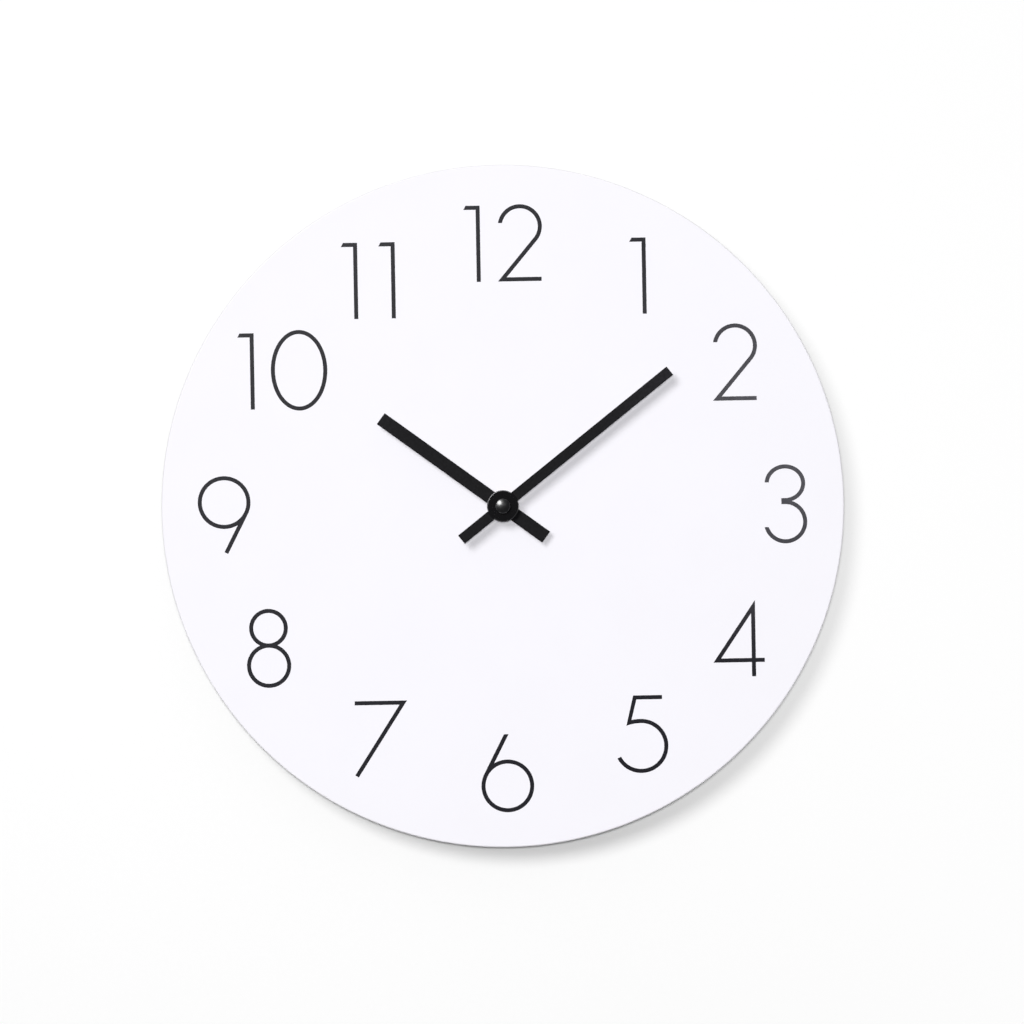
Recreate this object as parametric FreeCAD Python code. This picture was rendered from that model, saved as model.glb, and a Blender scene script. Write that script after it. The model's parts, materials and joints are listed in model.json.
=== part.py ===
# Frameless quartz wall clock: a round white board with printed numerals, two flat hands and a
# boxed movement that carries the board and hangs on the wall.
# Frame: X to the right as the dial is read, Z up, the dial faces -Y. The origin lies on the wall,
# on the axis of the hands. "depth" always means the distance in front of the wall, so y = -depth.
# A layer is a pair of depths, (back, front). All sizes are in millimetres.
import FreeCAD, Part
import math
import os
from FreeCAD import Vector

# ---- dial -------------------------------------------------------------------------------------
dial_radius = 150.0
board_thickness = 2.7
board_edge_round = 0.45
film_thickness = 0.3
film_inset = 0.5               # bare rounded edge of the board, seen around the printed film
ink_thickness = 0.06

# ---- numerals ---------------------------------------------------------------------------------
digit_height = 33.5
stroke = 1.8
overshoot = 0.6                # how far round digits pass the flat ones, above and below
flag_length = 7.2              # one: top flag, to the right edge of the stem
flag_cut = 1.0                 # one: slant of the flag's end
two_bowl_radius = 8.8
two_bowl_centre = 10.0         # two: from the tip of its foot to the middle of its bowl
two_width = 19.2
two_end_rise = 1.6             # two: its upper end stops this far above the bowl's centre
three_upper_width = 17.8
three_lower_radius = 8.62
three_arm = 1.7                # three: how far its middle arms reach left of the bowls' centres
three_arm_overlap = 0.95
three_upper_end, three_lower_end = 0.5, -2.25
four_stem_x = 18.65
four_bar_height = 6.25
four_bar_overhang = 3.9
five_bowl_radius = 10.97
five_bowl_end = 207.0          # degrees, anticlockwise from +X
five_shoulder_radius = 20.0
five_bar_left, five_bar_right = 3.23, 9.44
five_stem_foot = 6.4
six_bowl_radius = 10.69
six_end_shift = 0.3            # six and nine: from the bowl's centre line to the end of the leg
seven_width = 23.0
seven_slope = 57.0             # degrees
eight_lower_radius = 8.81
eight_waist = 1.72             # eight: the two rings share this much where they meet
zero_width = 24.8
zero_overshoot, zero_rise = 0.95, 0.15   # zero: past the line above and below, and its middle's lift
digit_gap = {10: 7.3, 11: 9.3, 12: 7.5}
# Each numeral's centre: how far in from the rim, and its direction in degrees clockwise from twelve.
numeral_places = {
    12: (34.59, 1.02), 1: (32.68, 31.38), 2: (30.12, 59.2), 3: (25.82, 90.55), 4: (31.2, 120.29),
    5: (32.77, 149.43), 6: (32.82, 179.98), 7: (34.55, 208.58), 8: (29.67, 239.7), 9: (27.56, 269.02),
    10: (36.46, 302.53), 11: (34.69, 330.15),
}

# ---- hands ------------------------------------------------------------------------------------
hour_reach, hour_tail, hour_width, hour_angle = 65.8, 23.3, 5.9, 306.6
minute_reach, minute_tail, minute_width, minute_angle = 94.0, 23.3, 4.62, 51.95
hand_thickness = 0.5
hour_height = 4.95             # from the film to the underside of the hour hand
hand_spacing = 3.8             # from the underside of the hour hand to that of the minute hand
hour_hub_radius, minute_hub_radius = 6.5, 6.95
collet_wall, collet_length = 0.85, 1.1
cap_radius, cap_height = 3.2, 2.7
cap_dome, cap_shoulder = 9.5, 0.6   # radii of the nut's low dome and of its shoulder
cap_grip = 1.45                # length of the threaded end that the cap nut takes

# ---- AA cell and its contacts -----------------------------------------------------------------
cell_radius = 7.1
cell_sleeve = 0.15
cell_sleeve_inset = 0.7
cell_edge_round = 0.6
cell_length = 49.2
cell_nub_radius, cell_nub_length = 2.75, 1.3
cell_end_gap = 0.1
cell_mouth_depth = 0.3         # the cell lies this far inside the back of the case
cell_side_gap = 0.1
spring_travel = 1.9
spring_thickness = 0.4
spring_half_height = 4.0
contact_thickness = 0.3
contact_gap = 0.2              # between a contact and the wall beside it
contact_tab = 3.1
contact_tab_height = 1.5
positive_lane = (5.0, 10.0)
negative_lane = (11.5, 13.8)

# ---- movement housing and hanger --------------------------------------------------------------
case_wall = 1.2
front_wall = 1.0
back_wall = 1.2
case_corner = 3.0
rear_case_depth = 4.0
bay_wall = 1.0
bay_lip = 0.5                  # the back plate covers this much of the bay at each end
snap_width, snap_thickness, snap_reach = 6.0, 1.0, 2.2
hanger_thickness = 0.6
hanger_width = 24.0
hanger_bend = 0.8              # inner radius, and the rounding of the case's edge that it wraps
hanger_foot = 12.0             # below the spindle
hanger_rise = 0.3              # gap between the case's top and the hanger's shelf
hanger_stand_off = 2.4         # from the wall to the hanging tab
hanger_corner = 4.0
nail_hole_radius, nail_slot_radius = 4.0, 2.0
nail_hole_rise = 7.6           # from the hanger's shelf to the middle of the nail hole
nail_slot_rise = 4.6           # from the middle of the nail hole to that of the slot's round end
nail_slot_margin = 3.0         # metal above the slot
rubber_radius, rubber_thickness = 10.0, 0.5
bush_radius, bush_flange_radius, bush_flange = 4.0, 5.5, 0.5
dial_washer_radius, dial_washer_thickness = 6.2, 0.4
nut_across_flats, nut_thickness = 10.0, 2.0
bush_stand_out = 0.4           # beyond the nut

# ---- wheel train ------------------------------------------------------------------------------
# Tooth forms are shares of the pitch, addendum and dedendum are multiples of the module.
tooth_tip_share, pinion_root_share, wheel_root_share = 0.22, 0.52, 0.60
addendum, dedendum = 0.8, 1.15
rotor_teeth, intermediate_teeth, intermediate_module = 10, 60, 0.25
intermediate_pinion_teeth, seconds_teeth, seconds_module = 12, 60, 0.30
seconds_pinion_teeth, third_teeth, third_module = 8, 64, 0.32
third_pinion_teeth, centre_teeth = 8, 60
arbor_pinion_teeth, transfer_teeth, transfer_module = 12, 36, 0.42
transfer_pinion_teeth, hour_teeth = 10, 40
knob_pinion_teeth = 12
# Directions of the lines of centres, in degrees anticlockwise from +X.
third_direction, intermediate_direction, rotor_direction = 180.0, 75.0, 150.0
transfer_direction, knob_direction = 60.0, 30.0

running_gap = 0.05             # radial clearance of shafts, pins and bushes
end_gap = 0.2                  # axial clearance at shaft ends and between hubs
wheel_gap = 0.7                # clearance between a wheel's teeth and the case
pinion_margin = 0.2            # a pinion is this much longer than its wheel, at each end
bridge_thickness, plate_thickness = 1.0, 0.8
intermediate_thickness, seconds_thickness, third_thickness = 0.6, 0.7, 0.8
centre_thickness, transfer_thickness, hour_thickness = 0.8, 0.8, 0.9
bridge_gap, intermediate_gap, seconds_gap, third_gap = 1.0, 1.2, 0.8, 1.2
plate_gap, centre_gap, transfer_gap, hour_gap = 0.4, 0.3, 0.7, 0.7
arbor_radius, pivot_radius, rotor_pivot_radius = 0.5, 0.4, 0.3
minute_arbor_radius, minute_journal_radius, minute_seat_radius = 1.7, 1.2, 1.5
hand_thread_radius, hand_flat_half = 1.35, 1.15
hour_tube_wall = 0.75
transfer_post_radius, knob_shaft_radius = 0.8, 1.2
third_boss_radius = 1.6
post_radius, pin_radius, pad_radius = 1.6, 0.9, 2.2
post_gap = 1.3                 # least clearance between a post and the wheels beside it
right_post_direction = -22.0

# ---- motor and circuit ------------------------------------------------------------------------
magnet_radius, magnet_gap, magnet_reach = 2.6, 0.5, 0.6
stator_gap, stator_thickness = 0.1, 1.0
stator_rim = 0.4               # metal left around the magnet's hole, above and below
stator_left_reach, stator_right_reach = 12.2, 10.8   # from the rotor to the outer sides of the legs
stator_leg = 3.5
stator_notch, stator_notch_height = 5.2, 3.2          # the step that clears the intermediate pinion
coil_rise = 8.2                # from the rotor to the coil
core_half_width, core_thickness = 1.5, 0.8
bobbin_radius, bobbin_flange_radius, bobbin_flange = 1.9, 2.6, 0.6
bobbin_gap = 0.3
winding_radius = 2.45
screw_radius, screw_head_radius, screw_head = 0.8, 1.4, 0.7
screw_slot = 0.4
circuit_width, circuit_height, circuit_thickness = 18.5, 8.5, 1.0
circuit_side_gap, circuit_top_gap = 0.8, 0.5
circuit_feet = (3.5, 13.0)     # from the board's left edge
circuit_foot_drop = 2.3
crystal_radius, crystal_length, crystal_rise = 1.0, 6.0, 2.6
chip_radius, chip_height, chip_place = 2.2, 0.9, 5.0

# ---- setting knob -----------------------------------------------------------------------------
knob_radius = 6.0
knob_recess = 0.5              # its face lies this far inside the back of the case
knob_well_gap = 0.6
knob_well_floor, knob_well_wall = 1.0, 1.0
knob_grips, knob_grip_radius = 20, 0.35
knob_slot_width, knob_slot_depth = 1.2, 0.8


def polar(distance, degrees, origin=(0.0, 0.0)):
    angle = math.radians(degrees)
    return (origin[0] + distance * math.cos(angle), origin[1] + distance * math.sin(angle))


def clock_direction(degrees):
    return (math.sin(math.radians(degrees)), math.cos(math.radians(degrees)))


def layer_after(layer, gap, thickness):
    return (layer[1] + gap, layer[1] + gap + thickness)


def widen(layer, margin):
    return (layer[0] - margin, layer[1] + margin)


def centre_distance(teeth, other_teeth, module):
    return (teeth + other_teeth) * module / 2


def tip_radius(teeth, module):
    return teeth * module / 2 + addendum * module


# ---- axes of the train ------------------------------------------------------------------------
spindle = (0.0, 0.0)
third_distance = centre_distance(seconds_pinion_teeth, third_teeth, third_module)
centre_module = 2 * third_distance / (third_pinion_teeth + centre_teeth)
transfer_distance = centre_distance(arbor_pinion_teeth, transfer_teeth, transfer_module)
hour_module = 2 * transfer_distance / (transfer_pinion_teeth + hour_teeth)
third_axis = polar(third_distance, third_direction)
intermediate_axis = polar(centre_distance(intermediate_pinion_teeth, seconds_teeth, seconds_module),
                          intermediate_direction)
rotor_axis = polar(centre_distance(rotor_teeth, intermediate_teeth, intermediate_module),
                   rotor_direction, intermediate_axis)
transfer_axis = polar(transfer_distance, transfer_direction)
knob_axis = polar(centre_distance(knob_pinion_teeth, transfer_teeth, transfer_module),
                  knob_direction, transfer_axis)
third_tip = tip_radius(third_teeth, third_module)
centre_tip = tip_radius(centre_teeth, centre_module)

# ---- layers of the movement, from the back to the front ---------------------------------------
bridge_layer = layer_after((0.0, back_wall), bridge_gap, bridge_thickness)
intermediate_layer = layer_after(bridge_layer, intermediate_gap, intermediate_thickness)
rotor_pinion_layer = widen(intermediate_layer, pinion_margin)
seconds_layer = layer_after(intermediate_layer, seconds_gap, seconds_thickness)
intermediate_pinion_layer = widen(seconds_layer, pinion_margin)
stator_layer = layer_after(seconds_layer, stator_gap, stator_thickness)
core_layer = (stator_layer[0] - core_thickness, stator_layer[0])
circuit_layer = (stator_layer[1] - circuit_thickness, stator_layer[1])
magnet_layer = widen(stator_layer, magnet_reach)
third_layer = layer_after(seconds_layer, third_gap, third_thickness)
seconds_pinion_layer = widen(third_layer, pinion_margin)
plate_layer = layer_after(third_layer, plate_gap, plate_thickness)
centre_layer = layer_after(plate_layer, centre_gap, centre_thickness)
third_pinion_layer = widen(centre_layer, pinion_margin / 2)
transfer_layer = layer_after(centre_layer, transfer_gap, transfer_thickness)
arbor_pinion_layer = widen(transfer_layer, pinion_margin)
knob_pinion_layer = widen(transfer_layer, pinion_margin)
hour_layer = layer_after(transfer_layer, hour_gap, hour_thickness)
transfer_pinion_layer = widen(hour_layer, pinion_margin)

# ---- case, sized around the cell and the train --------------------------------------------------
contact_room = contact_gap + contact_thickness
bay_height = 2 * (cell_radius + cell_side_gap) + contact_gap
inner = max(
    (cell_length + cell_nub_length + spring_travel) / 2 + contact_room + cell_end_gap,
    (bay_height + bay_wall + wheel_gap + third_tip),
)
half_case = inner + case_wall
front_inside = max(hour_layer[1] + end_gap + bush_flange, cell_mouth_depth + 2 * cell_radius + cell_side_gap)
case_depth = front_inside + front_wall
bay_top = bay_height - inner
bay_ceiling = bay_top + bay_wall
contact_face = inner - contact_room
contact_back = inner - contact_gap
cell_z = -inner + bay_height / 2
cell_depth = cell_mouth_depth + cell_radius
cell_tip = contact_face - cell_end_gap
cell_shoulder = cell_tip - cell_nub_length
cell_base = cell_shoulder - cell_length
posts = [
    (-(inner - 5.8), third_tip + post_gap),
    (-(inner - 5.3), bay_ceiling + pad_radius + end_gap),
    polar(centre_tip + post_radius + post_gap, right_post_direction),
]

# ---- dial stack and hands ---------------------------------------------------------------------
hanger_layer = layer_after((0.0, case_depth), 0.0, hanger_thickness)
rubber_layer = layer_after(hanger_layer, 0.0, rubber_thickness)
board_layer = layer_after(rubber_layer, 0.0, board_thickness)
film_layer = layer_after(board_layer, 0.0, film_thickness)
ink_layer = layer_after(film_layer, 0.0, ink_thickness)
washer_layer = layer_after(film_layer, 0.0, dial_washer_thickness)
nut_layer = layer_after(washer_layer, 0.0, nut_thickness)
hour_hand_layer = layer_after(film_layer, hour_height, hand_thickness)
minute_hand_layer = layer_after(film_layer, hour_height + hand_spacing, hand_thickness)
hour_tube_bore = minute_arbor_radius + running_gap
hour_tube_radius = hour_tube_bore + hour_tube_wall
hour_bore = hour_tube_radius + running_gap
bush_hole = bush_radius + running_gap
thread_end = minute_hand_layer[1] + cap_grip
hanger_shelf = half_case + hanger_rise
nail_hole_z = hanger_shelf + hanger_thickness + nail_hole_rise
nail_slot_z = nail_hole_z + nail_slot_rise
hanger_top = nail_slot_z + nail_slot_radius + nail_slot_margin

# ---- motor, circuit and knob --------------------------------------------------------------------
magnet_hole = magnet_radius + magnet_gap
stator_left = rotor_axis[0] - stator_left_reach
stator_right = rotor_axis[0] + stator_right_reach
stator_low = rotor_axis[1] - magnet_hole - stator_rim
stator_band_top = rotor_axis[1] + magnet_hole + stator_rim
coil_z = rotor_axis[1] + coil_rise
coil_depth = (core_layer[0] + core_layer[1]) / 2
coil_left, coil_right = stator_left + stator_leg + bobbin_gap, stator_right - stator_leg - bobbin_gap
stator_top = coil_z + core_half_width + stator_rim
screw_places = [(stator_left + stator_leg / 2, coil_z), (stator_right - stator_leg / 2, coil_z)]
circuit_right = inner - circuit_side_gap
circuit_left = circuit_right - circuit_width
circuit_top = inner - circuit_top_gap
circuit_bottom = circuit_top - circuit_height
circuit_places = [(circuit_left + x, circuit_top - circuit_foot_drop) for x in circuit_feet]
knob_well = knob_radius + knob_well_gap
knob_head_layer = (knob_recess, rear_case_depth - knob_well_floor - 2 * end_gap)
arbor_back = bridge_layer[0] + end_gap
plate_pivot_end = plate_layer[1] - end_gap
third_pivot_end = front_inside - 1.6
knob_pivot_end = front_inside - front_wall


# ---- shape helpers ----------------------------------------------------------------------------
def cylinder(radius, layer, at=spindle):
    back, front = layer
    return Part.makeCylinder(radius, front - back, Vector(at[0], -back, at[1]), Vector(0, -1, 0))


def tube(outer, bore, layer, at=spindle):
    return cylinder(outer, layer, at).cut(cylinder(bore, layer, at))


def along_x(radius, x0, x1, depth, z):
    return Part.makeCylinder(radius, x1 - x0, Vector(x0, -depth, z), Vector(1, 0, 0))


def box(x0, x1, layer, z0, z1):
    back, front = layer
    return Part.makeBox(x1 - x0, front - back, z1 - z0, Vector(x0, -front, z0))


def face(points):
    corners = [Vector(x, 0, z) for x, z in points]
    return Part.Face(Part.makePolygon(corners + corners[:1]))


def rectangle(x0, x1, z0, z1):
    return face([(x0, z0), (x1, z0), (x1, z1), (x0, z1)])


def raise_face(flat, layer):
    back, front = layer
    solid = flat.extrude(Vector(0, back - front, 0))
    solid.translate(Vector(0, -back, 0))
    return solid


def plate(points, layer):
    return raise_face(face(points), layer)


def rounded_square(half, corner, layer):
    block = box(-half, half, layer, -half, half)
    edges = [e for e in block.Edges if abs(e.tangentAt(e.FirstParameter).y) > 0.99]
    return block.makeFillet(corner, edges)


def link(start, end, half_width, layer):
    """A straight bar with round ends, from one point to another."""
    length = math.hypot(end[0] - start[0], end[1] - start[1])
    nx, nz = (end[1] - start[1]) * half_width / length, (start[0] - end[0]) * half_width / length
    bar = plate([(start[0] + nx, start[1] + nz), (end[0] + nx, end[1] + nz),
                 (end[0] - nx, end[1] - nz), (start[0] - nx, start[1] - nz)], layer)
    return union([bar, cylinder(half_width, layer, start), cylinder(half_width, layer, end)])


def union(shapes):
    first, rest = shapes[0], list(shapes[1:])
    joined = first.multiFuse(rest) if rest else first
    return joined.removeSplitter()


def cut_all(shape, cutters):
    for cutter in cutters:
        shape = shape.cut(cutter)
    return shape


def turn(shape, degrees):
    """Turns a shape clockwise about the spindle, as the dial is read."""
    shape.rotate(Vector(0, 0, 0), Vector(0, 1, 0), degrees)
    return shape


def arc_band(centre, radius, start, end, width=stroke):
    """A ring's sector as a flat face, from start to end degrees anticlockwise."""
    outer, inside, middle = radius + width / 2, radius - width / 2, (start + end) / 2

    def point(r, degrees):
        x, z = polar(r, degrees, centre)
        return Vector(x, 0, z)

    edges = [
        Part.Arc(point(outer, start), point(outer, middle), point(outer, end)).toShape(),
        Part.LineSegment(point(outer, end), point(inside, end)).toShape(),
        Part.Arc(point(inside, end), point(inside, middle), point(inside, start)).toShape(),
        Part.LineSegment(point(inside, start), point(outer, start)).toShape(),
    ]
    return Part.Face(Part.Wire(edges))


def ellipse_face(centre, half_width, half_height):
    middle = Vector(centre[0], 0, centre[1])
    side = Vector(centre[0] + half_width, 0, centre[1])
    top = Vector(centre[0], 0, centre[1] + half_height)
    ends = (side, top) if half_width > half_height else (top, side)
    return Part.Face(Part.Wire([Part.Ellipse(ends[0], ends[1], middle).toShape()]))


def ellipse_band(centre, half_width, half_height):
    """A stroke that follows an ellipse; the half sizes are those of its outer edge."""
    outer = ellipse_face(centre, half_width, half_height)
    return outer.cut(ellipse_face(centre, half_width - stroke, half_height - stroke))


def circle_face(centre, radius):
    middle = Vector(centre[0], 0, centre[1])
    return Part.Face(Part.Wire([Part.Circle(middle, Vector(0, -1, 0), radius).toShape()]))


def circle_band(centre, radius):
    return circle_face(centre, radius + stroke / 2).cut(circle_face(centre, radius - stroke / 2))


# ---- digits: flat faces that stand on z = 0, with their left edge near x = 0 --------------------
def digit_zero():
    centre = (zero_width / 2, digit_height / 2 + zero_rise)
    return [ellipse_band(centre, zero_width / 2, digit_height / 2 + zero_overshoot)]


def digit_one():
    stem = rectangle(flag_length - stroke, flag_length, 0, digit_height)
    flag = face([(flag_length, digit_height), (flag_cut, digit_height),
                 (0, digit_height - stroke), (flag_length, digit_height - stroke)])
    return [stem, flag]


def digit_two():
    centre = (two_bowl_centre, digit_height + overshoot / 2 - stroke / 2 - two_bowl_radius)
    inside, outside = two_bowl_radius - stroke / 2, two_bowl_radius + stroke / 2
    slope = math.atan2(centre[1], centre[0]) - math.asin(inside / math.hypot(*centre))
    side = (math.sin(slope), -math.cos(slope))
    leg = face([(0, 0), (centre[0] + inside * side[0], centre[1] + inside * side[1]),
                (centre[0] + outside * side[0], centre[1] + outside * side[1]),
                (stroke / math.sin(slope), 0)])
    foot = face([(0, 0), (two_width, 0), (two_width, stroke), (stroke / math.tan(slope), stroke)])
    bowl = arc_band(centre, two_bowl_radius, math.degrees(slope) - 90, 180)
    below_end = rectangle(centre[0] - 2 * outside, centre[0] - outside / 2, 0, centre[1] + two_end_rise)
    return [leg, foot, bowl.cut(below_end)]


def digit_three():
    outside = three_lower_radius + stroke / 2
    lower_z = outside - overshoot
    upper_low = lower_z + outside - three_arm_overlap
    upper_half = (digit_height + overshoot - upper_low) / 2
    upper_z = upper_low + upper_half
    upper = ellipse_band((outside, upper_z), three_upper_width / 2, upper_half)
    lower = circle_band((outside, lower_z), three_lower_radius)
    upper = upper.cut(rectangle(-outside, outside, 0, upper_z + three_upper_end))
    lower = lower.cut(rectangle(-outside, outside, lower_z + three_lower_end, digit_height))
    arm_feet = (upper_low, lower_z + outside - stroke)
    arms = [rectangle(outside - three_arm, outside + stroke / 10, z, z + stroke) for z in arm_feet]
    return [upper, lower] + arms


def digit_four():
    low = four_bar_height
    rise = digit_height - low
    length = math.hypot(four_stem_x, rise)
    ux, uz = four_stem_x / length, rise / length
    triangle = face([(0, low), (four_stem_x, low), (four_stem_x, digit_height)])
    opening = face([
        (stroke * (1 + ux) / uz, low + stroke),
        (four_stem_x - stroke, low + stroke),
        (four_stem_x - stroke, low + ((four_stem_x - stroke) * uz - stroke) / ux),
    ])
    stem = rectangle(four_stem_x - stroke, four_stem_x, 0, low + stroke)
    overhang = rectangle(four_stem_x - stroke, four_stem_x + four_bar_overhang, low, low + stroke)
    return [triangle.cut(opening), stem, overhang]


def digit_five():
    outside = five_bowl_radius + stroke / 2
    centre = (outside, outside - overshoot)
    bowl = arc_band(centre, five_bowl_radius, five_bowl_end - 360, 90)
    shoulder_centre = (centre[0], centre[1] + five_bowl_radius - five_shoulder_radius)
    reach = math.degrees(math.asin((five_stem_foot + stroke) / five_shoulder_radius))
    shoulder = arc_band(shoulder_centre, five_shoulder_radius, 90, 90 + reach)
    foot_rise = math.sqrt((five_shoulder_radius - stroke / 2) ** 2 - five_stem_foot ** 2)
    foot = (centre[0] - five_stem_foot, shoulder_centre[1] + foot_rise)
    head = (centre[0] - five_bar_left, digit_height)
    run, rise = head[0] - foot[0], head[1] - foot[1]
    wide = stroke * math.hypot(run, rise) / rise
    stem = face([foot, (foot[0] + wide, foot[1] + stroke / 2), (head[0] + wide, head[1]), head])
    bar = rectangle(head[0], centre[0] + five_bar_right, digit_height - stroke, digit_height)
    beyond_stem = face([head, (foot[0] - run, foot[1] - rise), (-outside, 0), (-outside, head[1])])
    return [bowl, shoulder.cut(beyond_stem), stem, bar]


def leg_to_bowl(centre, end, square_end):
    """The straight stroke of a six, from its end down to where it meets the bowl's left side."""
    dx, dz = centre[0] - end[0], end[1] - centre[1]
    lean = math.asin(six_bowl_radius / math.hypot(dx, dz)) - math.atan2(dx, dz)
    half = stroke / 2
    nx, nz = -math.cos(lean), math.sin(lean)
    touch = (centre[0] + six_bowl_radius * nx, centre[1] + six_bowl_radius * nz)
    if square_end:
        top = [(end[0] + half * nx, end[1] + half * nz), (end[0] - half * nx, end[1] - half * nz)]
    else:
        top = [(end[0] - half / math.cos(lean), end[1]), (end[0] + half / math.cos(lean), end[1])]
    low = [(touch[0] - half * nx, touch[1] - half * nz), (touch[0] + half * nx, touch[1] + half * nz)]
    return face(top + low)


def digit_six():
    outside = six_bowl_radius + stroke / 2
    centre = (outside, outside - overshoot)
    end = (centre[0] - six_end_shift, digit_height + overshoot / 3)
    return [circle_band(centre, six_bowl_radius), leg_to_bowl(centre, end, False)]


def digit_seven():
    lean = math.radians(seven_slope)
    foot = seven_width - digit_height / math.tan(lean)
    leg = face([(seven_width, digit_height), (foot, 0),
                (foot - stroke * math.sin(lean), stroke * math.cos(lean)),
                (seven_width - stroke / math.sin(lean), digit_height)])
    return [rectangle(0, seven_width - stroke, digit_height - stroke, digit_height), leg]


def digit_eight():
    lower_outside = eight_lower_radius + stroke / 2
    upper_outside = (digit_height + 2 * overshoot + eight_waist) / 2 - lower_outside
    upper_z = digit_height + overshoot - upper_outside
    return [circle_band((lower_outside, lower_outside - overshoot), eight_lower_radius),
            circle_band((lower_outside, upper_z), upper_outside - stroke / 2)]


def digit_nine():
    """A six turned upside down, but for the end of its leg, which is cut square."""
    outside = six_bowl_radius + stroke / 2
    centre = (outside, outside - overshoot)
    end = (centre[0] - 2 * six_end_shift, digit_height - overshoot / 2)
    shapes = [circle_band(centre, six_bowl_radius), leg_to_bowl(centre, end, True)]
    for shape in shapes:
        shape.rotate(Vector(outside, 0, digit_height / 2), Vector(0, 1, 0), 180)
    return shapes


digit_shapes = {"0": digit_zero, "1": digit_one, "2": digit_two, "3": digit_three, "4": digit_four,
                "5": digit_five, "6": digit_six, "7": digit_seven, "8": digit_eight, "9": digit_nine}


def numeral(hour):
    inks, cursor = [], 0.0
    for digit in str(hour):
        ink = union([raise_face(flat, ink_layer) for flat in digit_shapes[digit]()])
        ink.translate(Vector(cursor - ink.BoundBox.XMin, 0, 0))
        cursor = ink.BoundBox.XMax + digit_gap.get(hour, 0.0)
        inks.append(ink)
    both = Part.makeCompound(inks)
    inset, degrees = numeral_places[hour]
    dx, dz = clock_direction(degrees)
    reach = dial_radius - inset
    both.translate(Vector(reach * dx - both.BoundBox.Center.x, 0, reach * dz - digit_height / 2))
    return both


# ---- dial stack -------------------------------------------------------------------------------
def dial_board():
    disc = cylinder(dial_radius, board_layer)
    rims = [e for e in disc.Edges if isinstance(e.Curve, Part.Circle)]
    return disc.makeFillet(board_edge_round, rims).cut(cylinder(bush_hole, board_layer))


def dial_face_film():
    return tube(dial_radius - film_inset, bush_hole, film_layer)


def dial_washer():
    return tube(dial_washer_radius, bush_hole, washer_layer)


def dial_nut():
    """A hexagon whose front corners are turned off by a cone."""
    flat = nut_across_flats / 2
    corner = 2 * flat / math.sqrt(3)
    hexagon = plate([polar(corner, 60 * k) for k in range(6)], nut_layer)
    turned = Part.makeCone(flat + nut_thickness, flat, nut_thickness, Vector(0, -nut_layer[0], 0), Vector(0, -1, 0))
    return hexagon.common(turned).cut(cylinder(bush_hole, nut_layer))


def rubber_washer():
    return tube(rubber_radius, bush_hole, rubber_layer)


def centre_bush():
    """The threaded bush that clamps case, hanger and board together."""
    flange_layer = (front_inside - bush_flange, front_inside)
    barrel_layer = (front_inside, nut_layer[1] + bush_stand_out)
    barrel = cylinder(bush_radius, barrel_layer)
    rims = [e for e in barrel.Edges if abs(e.BoundBox.YMax + barrel_layer[1]) < bush_stand_out / 2]
    barrel = barrel.makeFillet(bush_stand_out / 2, rims)
    bush = union([cylinder(bush_flange_radius, flange_layer), barrel])
    return bush.cut(cylinder(hour_bore, (flange_layer[0], barrel_layer[1])))


def hanger_plate():
    """A steel strip that lies on the case's front, runs back over its top and turns up at the wall."""
    half = hanger_thickness / 2
    front, back = hanger_layer[0] + half, hanger_stand_off + half
    shelf = hanger_shelf + half
    bend = hanger_bend + half
    profile = [
        rectangle(front - half, front + half, -hanger_foot, shelf - bend),
        arc_band((front - bend, shelf - bend), bend, 0, 90, hanger_thickness),
        rectangle(back + bend, front - bend, shelf - half, shelf + half),
        arc_band((back + bend, shelf + bend), bend, 180, 270, hanger_thickness),
        rectangle(back - half, back + half, shelf + bend, hanger_top),
    ]
    strip = union([raise_face(flat, (-hanger_width / 2, hanger_width / 2)) for flat in profile])
    strip.rotate(Vector(0, 0, 0), Vector(0, 0, 1), -90)
    corners = [e for e in strip.Edges if abs(e.tangentAt(e.FirstParameter).y) > 0.99
               and min(abs(e.CenterOfMass.z - hanger_top), abs(e.CenterOfMass.z + hanger_foot)) < half]
    strip = strip.makeFillet(hanger_corner, corners)
    through = (0, hanger_stand_off + 2 * hanger_thickness)
    return cut_all(strip, [
        cylinder(nail_hole_radius, through, (0, nail_hole_z)),
        box(-nail_slot_radius, nail_slot_radius, through, nail_hole_z, nail_slot_z),
        cylinder(nail_slot_radius, through, (0, nail_slot_z)),
        cylinder(bush_hole, hanger_layer),
    ])


# ---- hands ------------------------------------------------------------------------------------
def hand(reach, tail, width, hub_radius, bore, degrees, layer):
    bar = box(-width / 2, width / 2, layer, -tail, reach)
    return turn(union([bar, cylinder(hub_radius, layer)]), degrees).cut(cylinder(bore, layer))


def hour_hand():
    return hand(hour_reach, hour_tail, hour_width, hour_hub_radius, hour_bore, hour_angle, hour_hand_layer)


def minute_hand():
    return hand(minute_reach, minute_tail, minute_width, minute_hub_radius, hand_thread_radius + running_gap,
                minute_angle, minute_hand_layer)


def hour_hand_collet():
    return tube(hour_bore + collet_wall, hour_bore, (hour_hand_layer[0] - collet_length, hour_hand_layer[0]))


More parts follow.
